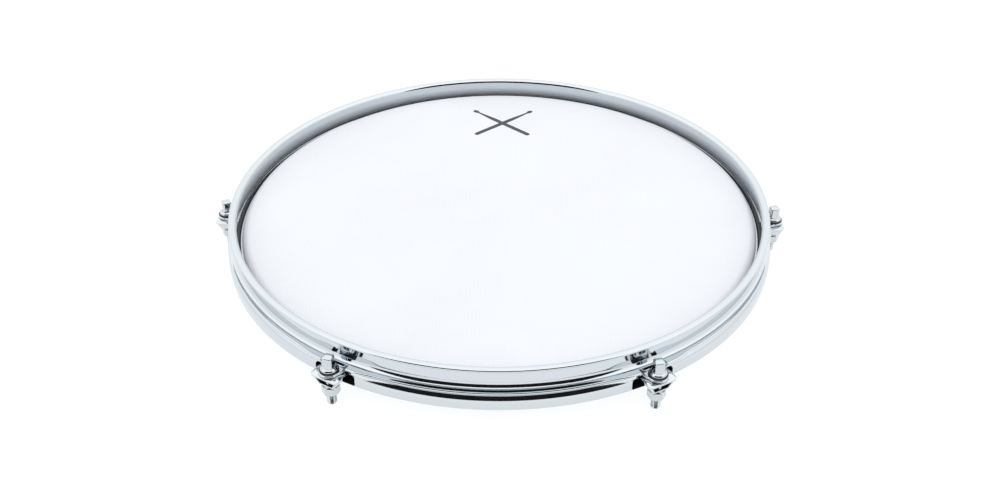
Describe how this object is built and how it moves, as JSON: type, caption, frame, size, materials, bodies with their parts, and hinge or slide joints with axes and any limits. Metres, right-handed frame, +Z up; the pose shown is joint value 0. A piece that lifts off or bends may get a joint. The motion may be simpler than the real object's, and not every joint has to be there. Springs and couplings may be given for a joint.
{
  "type": "practice pad",
  "caption": "Low round drum practice pad: mesh head stretched on a bearing edge inside a chrome flanged hoop, tensioned by key-headed rods in nuts under pressed lug brackets.",
  "frame": {"origin": "on the axis of the hoops, at the level of the tension rods' lower ends, which the pad stands on", "axes": "+Z up out of the playing side, -Y to the front, midway between two lugs"},
  "size_m": [0.3988, 0.3768, 0.042],
  "materials": {
    "hoop_chrome": "polished chrome plate",
    "bracket_chrome": "polished chrome plate, unplated inside",
    "rod_chrome": "polished chrome plate",
    "nut_chrome": "chrome plate",
    "washer_nylon": "stamped black nylon sheet",
    "screw_steel": "black zinc plate",
    "flesh_aluminium": "mill finish",
    "ring_plastic": "moulded, fine grain",
    "mesh_fabric": "woven polyester mesh, white"
  },
  "bodies": {
    "base": {"lower_hoop": "hoop_chrome", "bearing_ring": "ring_plastic", "head_mesh": "mesh_fabric", "head_collar": "mesh_fabric", "flesh_hoop": "flesh_aluminium", "ring_screws": "screw_steel", "lug_bracket_1": "bracket_chrome", "lug_bracket_2": "bracket_chrome", "lug_bracket_3": "bracket_chrome", "lug_bracket_4": "bracket_chrome", "lug_bracket_5": "bracket_chrome", "lug_bracket_6": "bracket_chrome", "nut_1": "nut_chrome", "nut_2": "nut_chrome", "nut_3": "nut_chrome", "nut_4": "nut_chrome", "nut_5": "nut_chrome", "nut_6": "nut_chrome"},
    "hoop": {"counterhoop": "hoop_chrome", "washer_1": "washer_nylon", "washer_2": "washer_nylon", "washer_3": "washer_nylon", "washer_4": "washer_nylon", "washer_5": "washer_nylon", "washer_6": "washer_nylon"},
    "rod_1": {"tension_rod_1": "rod_chrome"},
    "rod_2": {"tension_rod_2": "rod_chrome"},
    "rod_3": {"tension_rod_3": "rod_chrome"},
    "rod_4": {"tension_rod_4": "rod_chrome"},
    "rod_5": {"tension_rod_5": "rod_chrome"},
    "rod_6": {"tension_rod_6": "rod_chrome"}
  },
  "joints": [
    {"name": "hoop_slide", "type": "slide", "parent": "base", "child": "hoop", "axis": [0, 0, 1], "range_m": [0, 0.008]},
    {"name": "rod_1_turn", "type": "hinge", "parent": "hoop", "child": "rod_1", "pos_m": [0.0963, -0.1668, 0.026], "axis": [0, 0, 1], "range_deg": [0, 2880.5]},
    {"name": "rod_2_turn", "type": "hinge", "parent": "hoop", "child": "rod_2", "pos_m": [0.1926, 0, 0.026], "axis": [0, 0, 1], "range_deg": [0, 2880.5]},
    {"name": "rod_3_turn", "type": "hinge", "parent": "hoop", "child": "rod_3", "pos_m": [0.0963, 0.1668, 0.026], "axis": [0, 0, 1], "range_deg": [0, 2880.5]},
    {"name": "rod_4_turn", "type": "hinge", "parent": "hoop", "child": "rod_4", "pos_m": [-0.0963, 0.1668, 0.026], "axis": [0, 0, 1], "range_deg": [0, 2880.5]},
    {"name": "rod_5_turn", "type": "hinge", "parent": "hoop", "child": "rod_5", "pos_m": [-0.1926, 0, 0.026], "axis": [0, 0, 1], "range_deg": [0, 2880.5]},
    {"name": "rod_6_turn", "type": "hinge", "parent": "hoop", "child": "rod_6", "pos_m": [-0.0963, -0.1668, 0.026], "axis": [0, 0, 1], "range_deg": [0, 2880.5]}
  ],
  "couplings": [
    {"joint": "rod_1_turn", "follows": "hoop_slide", "rad_per_m": 6283.2},
    {"joint": "rod_2_turn", "follows": "hoop_slide", "rad_per_m": 6283.2},
    {"joint": "rod_3_turn", "follows": "hoop_slide", "rad_per_m": 6283.2},
    {"joint": "rod_4_turn", "follows": "hoop_slide", "rad_per_m": 6283.2},
    {"joint": "rod_5_turn", "follows": "hoop_slide", "rad_per_m": 6283.2},
    {"joint": "rod_6_turn", "follows": "hoop_slide", "rad_per_m": 6283.2}
  ]
}
